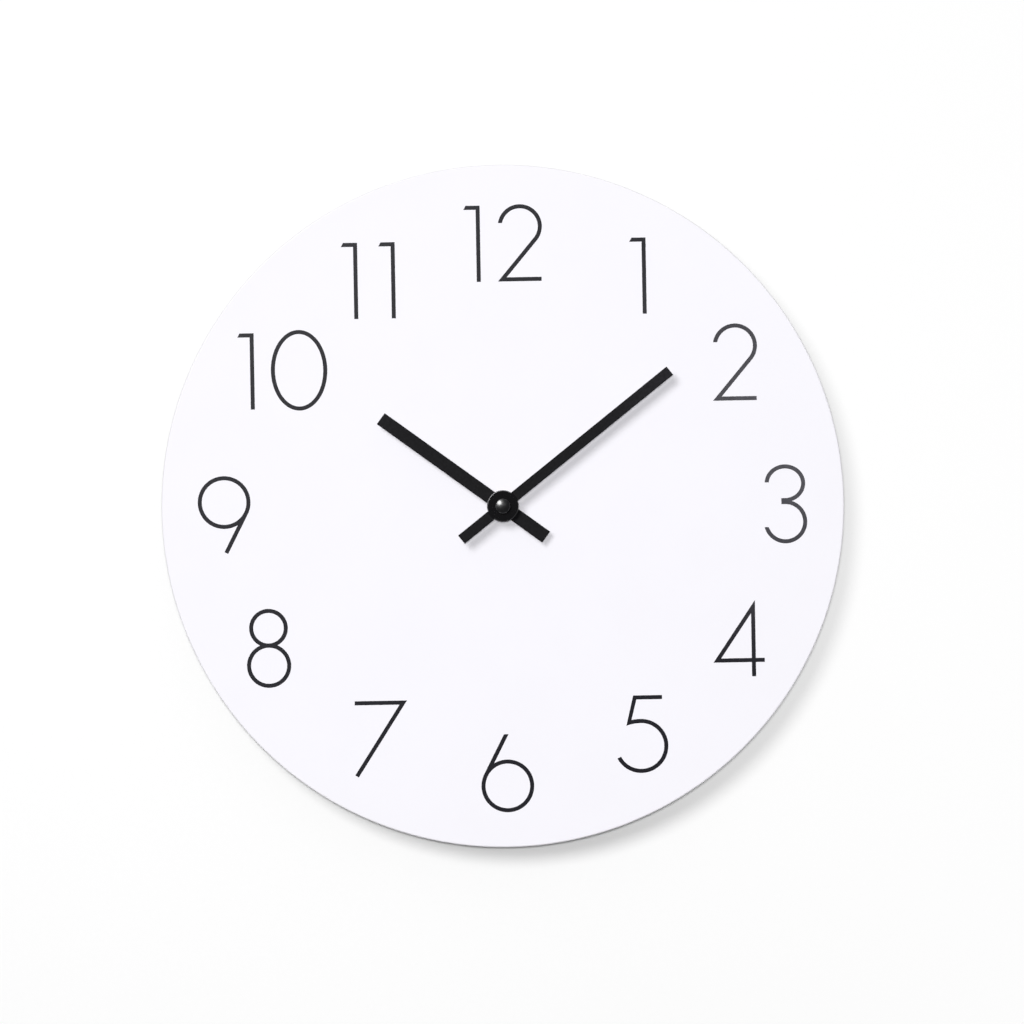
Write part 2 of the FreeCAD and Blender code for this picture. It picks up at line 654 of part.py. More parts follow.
def cap_nut():
    """A low-domed nut: its half section, turned about the spindle, with a blind hole for the thread."""
    half = math.asin(cap_radius / cap_dome) / 2
    rim_height = cap_height - cap_dome * (1 - math.cos(2 * half))
    back, rim, top = Vector(cap_radius, 0, 0), Vector(cap_radius, -rim_height, 0), Vector(0, -cap_height, 0)
    between = Vector(cap_dome * math.sin(half), -(cap_height - cap_dome * (1 - math.cos(half))), 0)
    outline = Part.Wire([
        Part.LineSegment(Vector(0, 0, 0), back).toShape(), Part.LineSegment(back, rim).toShape(),
        Part.Arc(rim, between, top).toShape(), Part.LineSegment(top, Vector(0, 0, 0)).toShape(),
    ])
    nut = Part.Face(outline).revolve(Vector(0, 0, 0), Vector(0, 1, 0), 360)
    shoulder = [e for e in nut.Edges if abs(e.CenterOfMass.y + rim_height) < cap_shoulder / 10]
    nut = nut.makeFillet(cap_shoulder, shoulder)
    nut.translate(Vector(0, -minute_hand_layer[1], 0))
    return nut.cut(cylinder(hand_thread_radius + running_gap, (minute_hand_layer[1], thread_end + running_gap)))


# ---- movement housing -------------------------------------------------------------------------
def tray(wall_layer, floor_layer):
    """Square side walls over one layer, closed by a floor over another."""
    walls = rounded_square(half_case, case_corner, wall_layer)
    walls = walls.cut(rounded_square(inner, case_corner - case_wall, wall_layer))
    return union([walls, rounded_square(half_case, case_corner, floor_layer)])


def movement_front_case():
    shell = tray((rear_case_depth, case_depth), (front_inside, case_depth))
    rim = [e for e in shell.Edges if abs(e.CenterOfMass.y + case_depth) < front_wall / 10]
    shell = shell.makeFillet(hanger_bend, rim)
    rib_end = cell_tip
    rib = box(-rib_end, rib_end, (back_wall, front_inside), bay_top, bay_ceiling)
    studs = [cylinder(post_radius, (plate_layer[1], front_inside), at) for at in posts]
    pins = [cylinder(pin_radius, (bridge_layer[0], plate_layer[1]), at) for at in posts]
    bosses = [
        cylinder(transfer_post_radius, (centre_layer[1] + end_gap, front_inside), transfer_axis),
        cylinder(third_boss_radius, (third_pinion_layer[1] + 3 * end_gap, front_inside), third_axis),
        cylinder(2 * knob_shaft_radius, (knob_pinion_layer[1] + end_gap, front_inside), knob_axis),
    ]
    return cut_all(union([shell, rib] + studs + pins + bosses), [
        cylinder(bush_hole, (front_inside, case_depth)),
        cylinder(arbor_radius + running_gap, (third_pinion_layer[1], third_pivot_end + end_gap / 2), third_axis),
        cylinder(knob_shaft_radius + running_gap, (knob_pinion_layer[1], knob_pivot_end + end_gap / 2), knob_axis),
    ])


def movement_rear_case():
    shell = tray((0, rear_case_depth), (0, back_wall))
    mouth = inner - bay_lip
    shell = shell.cut(box(-mouth, mouth, (0, back_wall), -inner, bay_top))
    well_layer = (0, rear_case_depth)
    snaps = [box(x, x + snap_width, (back_wall, rear_case_depth + snap_reach),
                 inner - snap_thickness - end_gap / 2, inner - end_gap / 2)
             for x in (-half_case + 2 * case_corner, circuit_left)]
    shell = union([shell, cylinder(knob_well + knob_well_wall, well_layer, knob_axis)] + snaps)
    return cut_all(shell, [
        cylinder(knob_well, (0, rear_case_depth - knob_well_floor), knob_axis),
        cylinder(knob_shaft_radius + running_gap, well_layer, knob_axis),
    ])


def middle_plate():
    """The plate between the going train behind it and the motion work in front of it."""
    side = contact_face - end_gap
    low, high = bay_ceiling + contact_thickness, contact_face - end_gap
    base = plate([(-side, low), (side, low), (side, high), (-side, high)], plate_layer)
    window = box(coil_left - bobbin_gap / 2, coil_right + bobbin_gap / 2, plate_layer,
                 coil_z - bobbin_flange_radius - bobbin_gap, coil_z + bobbin_flange_radius - bobbin_gap)
    standoffs = [cylinder(post_radius, (bridge_layer[1], plate_layer[0]), at) for at in posts]
    feet = [cylinder(post_radius, (stator_layer[1], plate_layer[0]), at) for at in screw_places]
    feet += [cylinder(post_radius, (circuit_layer[1], plate_layer[0]), at) for at in circuit_places]
    through = (bridge_layer[1], plate_layer[1])
    holes = [cylinder(pin_radius + running_gap, through, at) for at in posts]
    holes += [cylinder(screw_radius + running_gap, through, at) for at in screw_places]
    holes += [
        cylinder(minute_journal_radius + running_gap, through),
        cylinder(arbor_radius + end_gap, through, third_axis),
        cylinder(pivot_radius + running_gap, through, intermediate_axis),
        cylinder(rotor_pivot_radius + running_gap, through, rotor_axis),
        cylinder(knob_shaft_radius + end_gap, through, knob_axis),
    ]
    return cut_all(union([base.cut(window)] + standoffs + feet), holes)


def train_bridge():
    """Bars that join the posts to the back pivots of the going train."""
    upper_left, lower_left, right = posts
    bars = [(upper_left, rotor_axis), (rotor_axis, intermediate_axis), (intermediate_axis, spindle),
            (spindle, right), (spindle, third_axis), (third_axis, upper_left), (third_axis, lower_left)]
    bridge = union([link(start, end, pad_radius, bridge_layer) for start, end in bars])
    holes = [cylinder(pin_radius + running_gap, bridge_layer, at) for at in posts]
    holes += [cylinder(radius + running_gap, bridge_layer, at) for radius, at in (
        (arbor_radius, spindle), (arbor_radius, third_axis), (pivot_radius, intermediate_axis),
        (rotor_pivot_radius, rotor_axis))]
    return cut_all(bridge, holes)


# ---- gears ------------------------------------------------------------------------------------
def gear(teeth, module, layer, at, phase, root_share=wheel_root_share):
    """Straight-flanked teeth; one tooth points in the direction phase, in degrees."""
    root, tip = teeth * module / 2 - dedendum * module, tip_radius(teeth, module)
    pitch = 360.0 / teeth
    points = []
    for k in range(teeth):
        centre = phase + k * pitch
        for radius, share in ((root, -root_share), (tip, -tooth_tip_share), (tip, tooth_tip_share), (root, root_share)):
            points.append(polar(radius, centre + share * pitch / 2, at))
    return plate(points, layer)


def pinion(teeth, module, layer, at, phase):
    return gear(teeth, module, layer, at, phase, pinion_root_share)


def mesh_phase(direction, teeth, phase, other_teeth):
    """Phase of the other gear, which lies in that direction, so that it is in mesh with this one."""
    return direction + 180 + (direction - phase) * teeth / other_teeth + 180.0 / other_teeth


def rotor_pinion():
    """The plastic part of the rotor: pinion, neck and pivots, with the magnet moulded on."""
    return union([
        pinion(rotor_teeth, intermediate_module, rotor_pinion_layer, rotor_axis, rotor_direction + 180),
        cylinder(2 * rotor_pivot_radius, (rotor_pinion_layer[0], magnet_layer[0]), rotor_axis),
        cylinder(rotor_pivot_radius, (arbor_back, plate_pivot_end), rotor_axis),
    ])


def rotor_magnet():
    return tube(magnet_radius, rotor_pivot_radius, magnet_layer, rotor_axis)


def intermediate_wheel():
    phase = mesh_phase(rotor_direction + 180, rotor_teeth, rotor_direction + 180, intermediate_teeth)
    return union([
        gear(intermediate_teeth, intermediate_module, intermediate_layer, intermediate_axis, phase),
        pinion(intermediate_pinion_teeth, seconds_module, intermediate_pinion_layer, intermediate_axis,
               intermediate_direction + 180),
        cylinder(2 * pivot_radius, (intermediate_layer[1], intermediate_pinion_layer[0]), intermediate_axis),
        cylinder(pivot_radius, (arbor_back, plate_pivot_end), intermediate_axis),
    ])


def seconds_wheel():
    phase = mesh_phase(intermediate_direction + 180, intermediate_pinion_teeth,
                       intermediate_direction + 180, seconds_teeth)
    return union([
        gear(seconds_teeth, seconds_module, seconds_layer, spindle, phase),
        pinion(seconds_pinion_teeth, third_module, seconds_pinion_layer, spindle, third_direction),
        cylinder(2 * arbor_radius, (seconds_layer[1], seconds_pinion_layer[0])),
        cylinder(arbor_radius, (arbor_back, minute_hand_layer[0])),
    ])


def third_wheel():
    phase = mesh_phase(third_direction, seconds_pinion_teeth, third_direction, third_teeth)
    return union([
        gear(third_teeth, third_module, third_layer, third_axis, phase),
        pinion(third_pinion_teeth, centre_module, third_pinion_layer, third_axis, third_direction + 180),
        cylinder(arbor_radius, (arbor_back, third_pivot_end), third_axis),
    ])


def centre_wheel():
    """The wheel that grips the minute arbor through its friction hub."""
    phase = mesh_phase(third_direction + 180, third_pinion_teeth, third_direction + 180, centre_teeth)
    hub_layer = (centre_layer[0], arbor_pinion_layer[0] - end_gap)
    wheel = gear(centre_teeth, centre_module, centre_layer, spindle, phase)
    hub = cylinder(2 * minute_seat_radius, hub_layer)
    return union([wheel, hub]).cut(cylinder(minute_seat_radius + running_gap, hub_layer))


def minute_arbor():
    """Journal, clutch seat, pinion, long barrel and the flatted thread that holds the minute hand."""
    back = seconds_pinion_layer[1] + end_gap
    thread_layer = (minute_hand_layer[0], thread_end)
    thread = cylinder(hand_thread_radius, thread_layer).common(
        box(-hand_flat_half, hand_flat_half, thread_layer, -cap_radius, cap_radius))
    arbor = union([
        cylinder(minute_journal_radius, (back, centre_layer[0])),
        cylinder(minute_seat_radius, (centre_layer[0], arbor_pinion_layer[0])),
        pinion(arbor_pinion_teeth, transfer_module, arbor_pinion_layer, spindle, transfer_direction),
        cylinder(minute_arbor_radius, (arbor_pinion_layer[1], minute_hand_layer[0])),
        turn(thread, minute_angle),
    ])
    return arbor.cut(cylinder(arbor_radius + running_gap, (back, minute_hand_layer[0] + end_gap)))


def transfer_wheel():
    phase = mesh_phase(transfer_direction, arbor_pinion_teeth, transfer_direction, transfer_teeth)
    hub_layer = (centre_layer[1] + 2 * end_gap, transfer_pinion_layer[1])
    wheel = union([
        gear(transfer_teeth, transfer_module, transfer_layer, transfer_axis, phase),
        pinion(transfer_pinion_teeth, hour_module, transfer_pinion_layer, transfer_axis, transfer_direction + 180),
        cylinder(2 * transfer_post_radius, (hub_layer[0], transfer_pinion_layer[0]), transfer_axis),
    ])
    return wheel.cut(cylinder(transfer_post_radius + running_gap, hub_layer, transfer_axis))


def hour_wheel():
    """The hour wheel with its tube, which turns on the minute arbor and carries the hour hand."""
    phase = mesh_phase(transfer_direction + 180, transfer_pinion_teeth, transfer_direction + 180, hour_teeth)
    tube_layer = (arbor_pinion_layer[1] + end_gap, hour_hand_layer[1])
    wheel = gear(hour_teeth, hour_module, hour_layer, spindle, phase)
    return union([wheel, cylinder(hour_tube_radius, tube_layer)]).cut(cylinder(hour_tube_bore, tube_layer))


def setting_knob():
    wheel_phase = mesh_phase(transfer_direction, arbor_pinion_teeth, transfer_direction, transfer_teeth)
    phase = mesh_phase(knob_direction, transfer_teeth, wheel_phase, knob_pinion_teeth)
    grips = [cylinder(knob_grip_radius, knob_head_layer, polar(knob_radius, 360.0 * k / knob_grips, knob_axis))
             for k in range(knob_grips)]
    slot = box(knob_axis[0] - knob_slot_width / 2, knob_axis[0] + knob_slot_width / 2,
               (knob_recess, knob_recess + knob_slot_depth), knob_axis[1] - knob_radius, knob_axis[1] + knob_radius)
    head = cut_all(cylinder(knob_radius, knob_head_layer, knob_axis), grips + [slot])
    shaft = cylinder(knob_shaft_radius, (knob_head_layer[1], knob_pivot_end), knob_axis)
    return union([head, shaft, pinion(knob_pinion_teeth, transfer_module, knob_pinion_layer, knob_axis, phase)])


# ---- motor and circuit ------------------------------------------------------------------------
def stator():
    step_x, step_z = stator_right - stator_notch, stator_low + stator_notch_height
    outline = [
        (stator_left, stator_low), (step_x, stator_low), (step_x, step_z), (stator_right, step_z),
        (stator_right, stator_top), (stator_right - stator_leg, stator_top),
        (stator_right - stator_leg, stator_band_top), (stator_left + stator_leg, stator_band_top),
        (stator_left + stator_leg, stator_top), (stator_left, stator_top),
    ]
    holes = [cylinder(screw_radius + running_gap, stator_layer, at) for at in screw_places]
    return cut_all(plate(outline, stator_layer), holes + [cylinder(magnet_hole, stator_layer, rotor_axis)])


def coil_core():
    bar = box(stator_left, stator_right, core_layer, coil_z - core_half_width, coil_z + core_half_width)
    return cut_all(bar, [cylinder(screw_radius + running_gap, core_layer, at) for at in screw_places])


def coil_bobbin():
    ends = [(coil_left, coil_left + bobbin_flange), (coil_right - bobbin_flange, coil_right)]
    flanges = [along_x(bobbin_flange_radius, x0, x1, coil_depth, coil_z) for x0, x1 in ends]
    body = union([along_x(bobbin_radius, coil_left, coil_right, coil_depth, coil_z)] + flanges)
    half = core_half_width + running_gap
    return body.cut(box(coil_left, coil_right, widen(core_layer, running_gap), coil_z - half, coil_z + half))


def coil_winding():
    x0, x1 = coil_left + bobbin_flange + running_gap, coil_right - bobbin_flange - running_gap
    full = along_x(winding_radius, x0, x1, coil_depth, coil_z)
    return full.cut(along_x(bobbin_radius + running_gap, x0, x1, coil_depth, coil_z))


def stator_screws():
    head_layer = (core_layer[0] - screw_head, core_layer[0])
    screws = []
    for x, z in screw_places:
        screw = union([cylinder(screw_head_radius, head_layer, (x, z)),
                       cylinder(screw_radius, (core_layer[0], plate_layer[1]), (x, z))])
        slot = box(x - screw_head_radius, x + screw_head_radius, (head_layer[0], head_layer[0] + screw_head / 2),
                   z - screw_slot / 2, z + screw_slot / 2)
        screws.append(screw.cut(slot))
    return Part.makeCompound(screws)


def circuit_board():
    return box(circuit_left, circuit_right, circuit_layer, circuit_bottom, circuit_top)


def quartz_crystal():
    end = circuit_right - contact_tab - 2 * end_gap
    return along_x(crystal_radius, end - crystal_length, end, circuit_layer[0] - crystal_radius,
                   circuit_bottom + crystal_rise)


def chip_drop():
    """A low dome of resin over the chip: the cap of a ball."""
    ball_radius = (chip_radius ** 2 + chip_height ** 2) / (2 * chip_height)
    at = (circuit_left + chip_place, (circuit_bottom + circuit_top) / 2)
    ball = Part.makeSphere(ball_radius, Vector(at[0], chip_height - ball_radius - circuit_layer[0], at[1]))
    return ball.common(cylinder(2 * chip_radius, (circuit_layer[0] - 2 * chip_height, circuit_layer[0]), at))


# ---- contacts and cell ------------------------------------------------------------------------
def battery_contact_positive():
    top = circuit_bottom + contact_tab_height
    strip = box(contact_face, contact_back, positive_lane, cell_z - spring_half_height, top)
    tab = box(contact_back - contact_tab, contact_back, (circuit_layer[0] - contact_thickness, circuit_layer[0]),
              circuit_bottom + end_gap, top)
    return union([strip, tab])


def battery_contact_negative():
    """From the leaf spring at the cell's flat end, over the bay and up the other wall to the circuit."""
    leaf_layer = (positive_lane[0], negative_lane[1])
    low, high = cell_z - spring_half_height, cell_z + spring_half_height
    tip = cell_base - cell_end_gap
    leaf = plate([(-contact_face, low), (tip, cell_z), (-contact_face, high), (-contact_back, high),
                  (-contact_back, low)], leaf_layer)
    hollow = plate([(-contact_face, low + spring_thickness), (tip - spring_thickness, cell_z),
                    (-contact_face, high - spring_thickness)], leaf_layer)
    run_top = bay_ceiling + contact_thickness
    end_top = circuit_top - contact_tab_height
    end_low = end_top - contact_tab_height
    return union([
        leaf.cut(hollow),
        box(-contact_back, -contact_face, negative_lane, cell_z, run_top),
        box(-contact_back, contact_back, negative_lane, bay_ceiling, run_top),
        box(contact_face, contact_back, negative_lane, bay_ceiling, end_top),
        box(contact_face, contact_back, (circuit_layer[1], negative_lane[1]), end_low, end_top),
        box(contact_back - contact_tab, contact_back, (circuit_layer[1], circuit_layer[1] + contact_thickness),
            end_low, end_top),
    ])


def battery_can():
    can = along_x(cell_radius - cell_sleeve, cell_base, cell_shoulder, cell_depth, cell_z)
    can = can.makeFillet(cell_edge_round, [e for e in can.Edges if isinstance(e.Curve, Part.Circle)])
    return union([can, along_x(cell_nub_radius, cell_shoulder, cell_tip, cell_depth, cell_z)])


def battery_sleeve():
    x0, x1 = cell_base + cell_sleeve_inset, cell_shoulder - cell_sleeve_inset
    full = along_x(cell_radius, x0, x1, cell_depth, cell_z)
    return full.cut(along_x(cell_radius - cell_sleeve, x0, x1, cell_depth, cell_z))


pieces = [
    dial_board, dial_face_film, dial_washer, dial_nut, rubber_washer, centre_bush, hanger_plate,
    hour_hand, hour_hand_collet, minute_hand, cap_nut,
    movement_front_case, movement_rear_case, middle_plate, train_bridge,
    rotor_pinion, rotor_magnet, intermediate_wheel, seconds_wheel, third_wheel, centre_wheel,
    minute_arbor, transfer_wheel, hour_wheel, setting_knob,
    stator, coil_core, coil_bobbin, coil_winding, stator_screws,
    circuit_board, quartz_crystal, chip_drop,
    battery_contact_positive, battery_contact_negative, battery_can, battery_sleeve,
]
shapes = {piece.__name__: piece() for piece in pieces}
for hour in sorted(numeral_places):
    shapes["numeral_%02d" % hour] = numeral(hour)

os.makedirs("parts", exist_ok=True)
for name, shape in shapes.items():
    if not shape.isValid():
        raise ValueError(name + " is not a valid shape")
    shape.exportStep("parts/" + name + ".step")
    print("%-26s %d solids %10.2f mm3" % (name, len(shape.Solids), shape.Volume))
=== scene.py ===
import json
import math
import bmesh
import bpy
from mathutils import Matrix, Vector


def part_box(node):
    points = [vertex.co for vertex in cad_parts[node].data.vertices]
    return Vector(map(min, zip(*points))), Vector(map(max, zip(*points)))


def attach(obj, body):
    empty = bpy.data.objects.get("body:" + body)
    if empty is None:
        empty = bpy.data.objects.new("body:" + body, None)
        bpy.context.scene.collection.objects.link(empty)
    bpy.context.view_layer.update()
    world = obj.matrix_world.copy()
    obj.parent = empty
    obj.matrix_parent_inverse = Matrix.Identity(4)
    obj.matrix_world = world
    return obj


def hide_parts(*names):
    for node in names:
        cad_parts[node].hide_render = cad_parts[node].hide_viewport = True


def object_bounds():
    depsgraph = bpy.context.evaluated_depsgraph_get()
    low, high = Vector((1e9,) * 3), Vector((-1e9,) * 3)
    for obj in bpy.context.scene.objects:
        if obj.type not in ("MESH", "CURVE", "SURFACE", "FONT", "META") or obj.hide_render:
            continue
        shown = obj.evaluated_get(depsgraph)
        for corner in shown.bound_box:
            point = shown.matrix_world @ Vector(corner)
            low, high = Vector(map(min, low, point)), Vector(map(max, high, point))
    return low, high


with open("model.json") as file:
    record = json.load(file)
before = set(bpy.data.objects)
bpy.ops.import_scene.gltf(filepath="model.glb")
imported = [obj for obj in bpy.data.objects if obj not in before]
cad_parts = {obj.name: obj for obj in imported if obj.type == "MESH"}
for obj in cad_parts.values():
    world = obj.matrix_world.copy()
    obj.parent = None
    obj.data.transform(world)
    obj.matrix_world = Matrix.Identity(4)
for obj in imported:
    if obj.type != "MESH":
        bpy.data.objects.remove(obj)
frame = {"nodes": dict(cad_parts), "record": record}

scene = bpy.context.scene
scene.view_settings.view_transform = "Standard"
nodes = frame["nodes"]
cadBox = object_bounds()
mm = 0.001
white = (1.0, 1.0, 1.0, 1.0)
print("frame loaded with", len(nodes), "nodes")


# helpers for node trees: a socket is given a number, a colour or another node's output
def addNode(tree, kind, values=None, **settings):
    node = tree.nodes.new(kind)
    for key, value in settings.items():
        setattr(node, key, value)
    for socket, value in (values or {}).items():
        if isinstance(value, bpy.types.NodeSocket):
            tree.links.new(value, node.inputs[socket])
        else:
            node.inputs[socket].default_value = value
    return node


def newMaterial(name):
    material = bpy.data.materials.new(name)
    material.use_nodes = True
    material.node_tree.nodes.clear()
    return material, material.node_tree


def calculate(tree, operation, first, second=0.0, clamp=False):
    values = {0: first, 1: second}
    return addNode(tree, "ShaderNodeMath", values, operation=operation, use_clamp=clamp).outputs[0]


def reachAlong(tree, vector, direction):
    node = addNode(tree, "ShaderNodeVectorMath", {0: vector, 1: direction}, operation="DOT_PRODUCT")
    return node.outputs["Value"]


def lengthOf(tree, vector):
    return addNode(tree, "ShaderNodeVectorMath", {0: vector}, operation="LENGTH").outputs["Value"]


def partOf(tree, vector, axis):
    return addNode(tree, "ShaderNodeSeparateXYZ", {0: vector}).outputs[axis]


def choose(tree, factor, first, second):              # between two numbers
    values = {0: factor, 2: first, 3: second}
    return addNode(tree, "ShaderNodeMix", values, data_type="FLOAT").outputs[0]


def blend(tree, factor, first, second):               # between two colours
    values = {0: factor, "A": first, "B": second}
    return addNode(tree, "ShaderNodeMix", values, data_type="RGBA").outputs["Result"]


def blendShaders(tree, factor, first, second):
    return addNode(tree, "ShaderNodeMixShader", {0: factor, 1: first, 2: second}).outputs[0]


noiseRange = (0.3, 0.7)               # where most of a noise lies


def spread(tree, source, levels, span=noiseRange, kind="LINEAR"):
    values = {"Value": source, "From Min": span[0], "From Max": span[1],
              "To Min": levels[0], "To Max": levels[1]}
    return addNode(tree, "ShaderNodeMapRange", values, interpolation_type=kind).outputs["Result"]


def noise(tree, vector, size, detail=3.0, roughness=0.55):
    values = {"Vector": vector, "Scale": 1 / size, "Detail": detail, "Roughness": roughness}
    return addNode(tree, "ShaderNodeTexNoise", values).outputs["Fac"]


def ramp(tree, source, stops, interpolation="EASE"):
    node = addNode(tree, "ShaderNodeValToRGB", {"Fac": source})
    node.color_ramp.interpolation = interpolation
    elements = node.color_ramp.elements
    while len(elements) < len(stops):
        elements.new(0.5)
    for element, (position, colour) in zip(elements, stops):
        element.position = position
        element.color = colour
    return node.outputs["Color"]


def opaque(colour, factor=1.0):
    return tuple(min(1.0, part * factor) for part in colour) + (1.0,)


def mottled(tree, source, colour, tone, span=noiseRange):     # darker where the source is low
    stops = [(span[0], opaque(colour, 1 - tone)), (span[1], opaque(colour, 1 + tone))]
    return ramp(tree, source, stops)


# the camera looks level at the dial through a long lens, and the clock hangs a degree out of true
cameraLook = {
    "lens": 150.0,
    "dialShare": 0.6666,              # dial width over frame width
    "dialAt": (0.4911, 0.4942),       # dial centre, from the frame's left and top
    "roll": 1.0,                      # degrees
    "rimDepth": 0.75 * mm,            # from the film's front back to the board's full width
}


def makeCamera(look):
    low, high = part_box("dial_board")
    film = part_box("dial_face_film")[0]
    data = bpy.data.cameras.new("dialCamera")
    data.lens = look["lens"]
    frameWidth = (high.x - low.x) / look["dialShare"]
    distance = frameWidth * data.lens / data.sensor_width
    roll = math.radians(look["roll"])
    right = Vector((math.cos(roll), 0, -math.sin(roll)))
    up = Vector((math.sin(roll), 0, math.cos(roll)))
    camera = bpy.data.objects.new("dialCamera", data)
    camera.location = (right * (0.5 - look["dialAt"][0]) + up * (look["dialAt"][1] - 0.5)) * frameWidth
    camera.location.y = film.y + look["rimDepth"] - distance
    camera.rotation_euler = (math.radians(90), roll, 0)
    scene.collection.objects.link(camera)
    scene.camera = camera


makeCamera(cameraLook)
print("camera placed")

# light from the air: "level" and "slope" for the dial's side, the rest for what faces the wall
airLook = {
    "level": 0.01, "slope": (0.08, 0.0, 0.215),
    # the wall throws light back: bright from its lit side, dark from its shaded side
    "wallTowards": (-0.57, 0.0, 0.82), "wallRange": (-0.5, 0.15), "wallLevels": (0.22, 0.95),
    # and more comes from straight behind, for the back of the clock
    "poleRange": (0.45, 0.85), "pole": 1.1,
    "depth": 1.5,                     # it ends after one bounce, so the wall sees a dark back
}
# a soft key from the upper left, a small fill close to the camera and a faint card on the right;
# "share" is how much of plain white a lamp gives a surface that faces it
lampLooks = {
    "keyLamp": {"towards": (-0.303, -0.900, 0.315), "distance": 5.0, "across": 1.87, "share": 0.49},
    "fillLamp": {"towards": (-0.008, -1.0, 0.025), "distance": 2.0, "across": 0.16, "share": 0.597,
                 "gloss": False},
    "cardLamp": {"towards": (0.17, -0.975, 0.14), "distance": 2.4, "across": 0.5, "share": 0.006},
}


def makeAir(look):
    world = bpy.data.worlds.new("studioAir")
    world.use_nodes = True
    scene.world = world
    tree = world.node_tree
    tree.nodes.clear()
    direction = addNode(tree, "ShaderNodeTexCoord").outputs["Generated"]
    path = addNode(tree, "ShaderNodeLightPath").outputs
    backwards = partOf(tree, direction, "Y")
    front = calculate(tree, "ADD", reachAlong(tree, direction, look["slope"]), look["level"])
    wallSide = reachAlong(tree, direction, look["wallTowards"])
    wall = spread(tree, wallSide, look["wallLevels"], look["wallRange"], "SMOOTHSTEP")
    pole = spread(tree, backwards, (0.0, look["pole"]), look["poleRange"], "SMOOTHSTEP")
    early = calculate(tree, "LESS_THAN", path["Ray Depth"], look["depth"])
    back = calculate(tree, "MULTIPLY", calculate(tree, "ADD", wall, pole), early)
    behind = calculate(tree, "GREATER_THAN", backwards, 0.0)
    level = calculate(tree, "MAXIMUM", choose(tree, behind, front, back), 0.0)
    lit = addNode(tree, "ShaderNodeBackground", {"Color": white, "Strength": level}).outputs[0]
    seen = addNode(tree, "ShaderNodeBackground", {"Color": white, "Strength": 1.0}).outputs[0]
    plainRays = calculate(tree, "ADD", path["Is Camera Ray"], path["Is Glossy Ray"])
    plainRays = calculate(tree, "ADD", plainRays, path["Is Transmission Ray"], clamp=True)
    addNode(tree, "ShaderNodeOutputWorld", {"Surface": blendShaders(tree, plainRays, lit, seen)})


def makeLamp(name, look):
    data = bpy.data.lights.new(name, "AREA")
    data.shape = "DISK"
    data.size = look["across"]
    data.energy = look["share"] * (math.pi * look["distance"]) ** 2
    lamp = bpy.data.objects.new(name, data)
    towards = Vector(look["towards"]).normalized()
    lamp.location = towards * look["distance"]
    lamp.rotation_euler = towards.to_track_quat("Z", "Y").to_euler()
    lamp.visible_camera = False
    lamp.visible_glossy = look.get("gloss", True)
    scene.collection.objects.link(lamp)


makeAir(airLook)
for lampName, lampLook in lampLooks.items():
    makeLamp(lampName, lampLook)
print("lamps placed")


# the wall and the new pieces are modelled flat with their front towards +Z, then stood up at a depth
def stoodAt(depth):
    return Matrix.Translation((0, depth, 0)) @ Matrix.Rotation(math.radians(90), 4, "X")


def addPiece(bm, name, material):
    mesh = bpy.data.meshes.new(name)
    bm.to_mesh(mesh)
    bm.free()
    mesh.materials.append(material)
    piece = bpy.data.objects.new(name, mesh)
    scene.collection.objects.link(piece)
    return piece


def hideFrom(piece, rays):
    for kind in rays:
        setattr(piece, "visible_" + kind, False)


# wall and floor: "glow" is the share of white in the camera's view, "lean" how it grows along each axis,
# which paints light into the wall's cast shadow, more towards the right and the top;
# and "shade" the darker of the two tones of the grain
wallLook = {
    "across": 2.4, "gap": 0.2 * mm, "colour": (0.945, 0.945, 0.945), "grain": 2 * mm, "shade": 0.985,
    "glow": -0.017, "lean": (3.45, 0.0, 0.71), "least": 0.02, "most": 0.6,
}
floorLook = {
    "across": 3.0, "drop": 0.75, "colour": (0.92, 0.92, 0.92), "grain": 4 * mm, "shade": 0.985, "glow": 0.6,
}
darkLook = {
    "radius": 7.0, "open": 0.15, "colour": (0.012, 0.012, 0.012), "grain": 0.4, "shade": 0.985, "glow": 0.0,
}


def stagePaint(name, look):
    material, tree = newMaterial(name)
    place = addNode(tree, "ShaderNodeTexCoord").outputs["Object"]
    values = {"Vector": place, "Scale": 1 / look["grain"], "Detail": 2.0}
    grain = addNode(tree, "ShaderNodeTexNoise", values).outputs["Fac"]
    tone = blend(tree, grain, opaque(look["colour"], look["shade"]), opaque(look["colour"]))
    paint = addNode(tree, "ShaderNodeBsdfDiffuse", {"Color": tone}).outputs[0]
    glow = addNode(tree, "ShaderNodeEmission", {"Color": white, "Strength": 1.0}).outputs[0]
    # painted light: the glow grows along the lean, lifting the wall's cast shadow on the right
    level = calculate(tree, "ADD", reachAlong(tree, place, look.get("lean", (0, 0, 0))), look["glow"])
    level = calculate(tree, "MAXIMUM", level, look.get("least", 0.0))
    level = calculate(tree, "MINIMUM", level, look.get("most", 1.0))
    cameraRay = addNode(tree, "ShaderNodeLightPath").outputs["Is Camera Ray"]
    front = blendShaders(tree, calculate(tree, "MULTIPLY", cameraRay, level), paint, glow)
    backfacing = addNode(tree, "ShaderNodeNewGeometry").outputs["Backfacing"]
    clear = addNode(tree, "ShaderNodeBsdfTransparent").outputs[0]
    addNode(tree, "ShaderNodeOutputMaterial", {"Surface": blendShaders(tree, backfacing, front, clear)})
    return material


def makeSheet(name, look, matrix):
    bm = bmesh.new()
    bmesh.ops.create_grid(bm, x_segments=1, y_segments=1, size=look["across"] / 2)
    bmesh.ops.transform(bm, matrix=matrix, verts=bm.verts[:])
    sheet = addPiece(bm, name, stagePaint(name + "Paint", look))
    hideFrom(sheet, ("diffuse", "glossy", "transmission", "shadow", "volume_scatter"))


